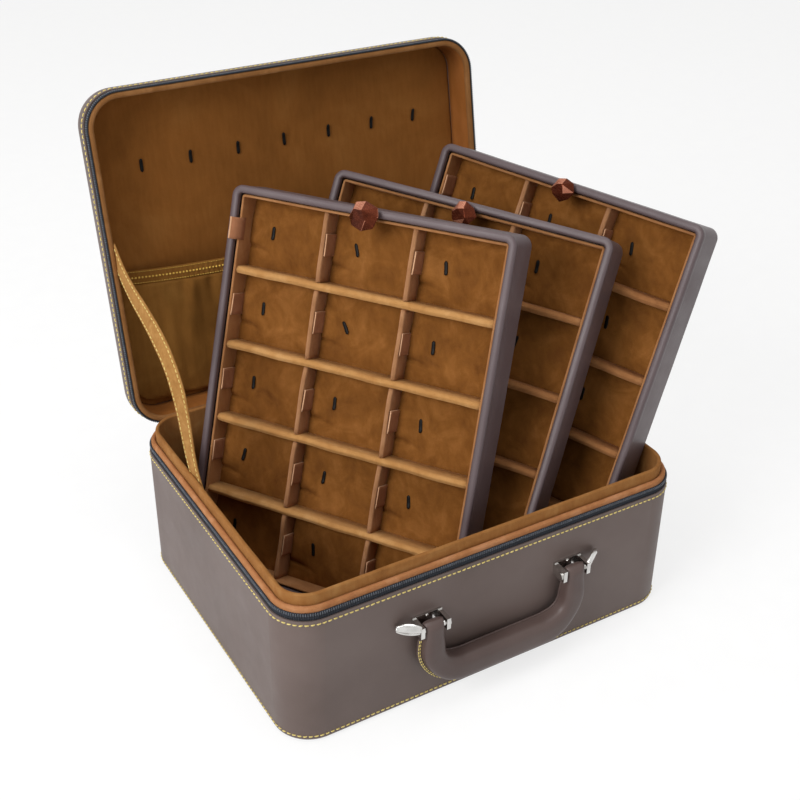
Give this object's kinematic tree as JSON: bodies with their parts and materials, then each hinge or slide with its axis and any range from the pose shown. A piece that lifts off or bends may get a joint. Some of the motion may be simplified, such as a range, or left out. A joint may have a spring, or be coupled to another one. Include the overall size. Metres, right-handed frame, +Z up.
{
  "type": "jewelry_display_case",
  "caption": "Zippered jewelry display case in brown imitation leather, open, with a padded handle, a velvet-lined lid and lift-out display trays fanned in the base",
  "frame": {"origin": "centre of the underside, on the ground", "axes": "+X right along the front, -Y out of the front, +Z up"},
  "size_m": [0.4423, 0.408, 0.4266],
  "materials": {
    "leather": "soft grained imitation leather, low sheen",
    "velvet": "short-pile velvet, cognac",
    "velvet_light": "short-pile velvet, tan, brushed the other way",
    "zip_tape": "woven ribbed tape",
    "zip_teeth": "coil teeth, satin",
    "thread": "thick waxed thread",
    "chrome": "polished",
    "hook_black": "matt",
    "satin": "satin ribbon, copper brown"
  },
  "bodies": {
    "base": {"base_shell": "leather", "base_floor": "velvet", "base_collar": "velvet", "base_piping": "velvet_light", "base_zip_tape": "zip_tape", "base_zip_teeth": "zip_teeth", "base_stitch_upper": "thread", "base_stitch_lower": "thread", "hinge_strip": "leather", "slider_left": "chrome", "slider_right": "chrome", "stay_strap": "velvet_light", "bracket_left": "chrome", "bracket_right": "chrome", "pin_left": "chrome", "pin_right": "chrome", "bracket_screws": "chrome"},
    "lid": {"lid_shell": "leather", "lid_wall_lining": "velvet", "lid_panel": "velvet", "lid_piping": "velvet_light", "lid_zip_tape": "zip_tape", "lid_zip_teeth": "zip_teeth", "lid_stitching": "thread", "lid_hooks": "hook_black", "lid_pocket": "velvet", "pocket_band": "velvet_light"},
    "handle": {"handle_grip": "leather", "handle_stitching": "thread"},
    "tray_1": {"tray_1_frame": "leather", "tray_1_lining": "velvet", "tray_1_floor": "velvet", "tray_1_rows": "velvet_light", "tray_1_columns": "velvet", "tray_1_hooks": "hook_black", "tray_1_tabs": "velvet_light", "tray_1_ribbon": "satin"},
    "tray_2": {"tray_2_frame": "leather", "tray_2_lining": "velvet", "tray_2_floor": "velvet", "tray_2_rows": "velvet_light", "tray_2_columns": "velvet", "tray_2_hooks": "hook_black", "tray_2_tabs": "velvet_light", "tray_2_ribbon": "satin"},
    "tray_3": {"tray_3_frame": "leather", "tray_3_lining": "velvet", "tray_3_floor": "velvet", "tray_3_rows": "velvet_light", "tray_3_columns": "velvet", "tray_3_hooks": "hook_black", "tray_3_tabs": "velvet_light", "tray_3_ribbon": "satin"},
    "zip_pull_left": {"pull_left": "chrome"},
    "zip_pull_right": {"pull_right": "chrome"}
  },
  "joints": [
    {"name": "lid_hinge", "type": "hinge", "parent": "base", "child": "lid", "pos_m": [0, 0.1505, 0.131], "axis": [1, 0, 0], "range_deg": [0, 7.5], "deforming": ["hinge_strip", "stay_strap"]},
    {"name": "handle_swing", "type": "hinge", "parent": "base", "child": "handle", "pos_m": [0, -0.161, 0.085], "axis": [-1, 0, 0], "range_deg": [0, 160]},
    {"name": "tray_1_lift", "type": "slide", "parent": "base", "child": "tray_1", "axis": [0, 0, 1], "range_m": [0, 0.43]},
    {"name": "tray_2_lift", "type": "slide", "parent": "base", "child": "tray_2", "axis": [0.4025, 0.0478, 0.9142], "range_m": [0, 0.46]},
    {"name": "tray_3_lift", "type": "slide", "parent": "base", "child": "tray_3", "axis": [0.3819, 0.1054, 0.9182], "range_m": [0, 0.46]},
    {"name": "pull_left_swing", "type": "hinge", "parent": "base", "child": "zip_pull_left", "pos_m": [-0.132, 0.15658, 0.1241], "axis": [1, 0, 0], "range_deg": [0, 85]},
    {"name": "pull_right_swing", "type": "hinge", "parent": "base", "child": "zip_pull_right", "pos_m": [0.132, 0.15658, 0.1241], "axis": [1, 0, 0], "range_deg": [0, 85]}
  ]
}
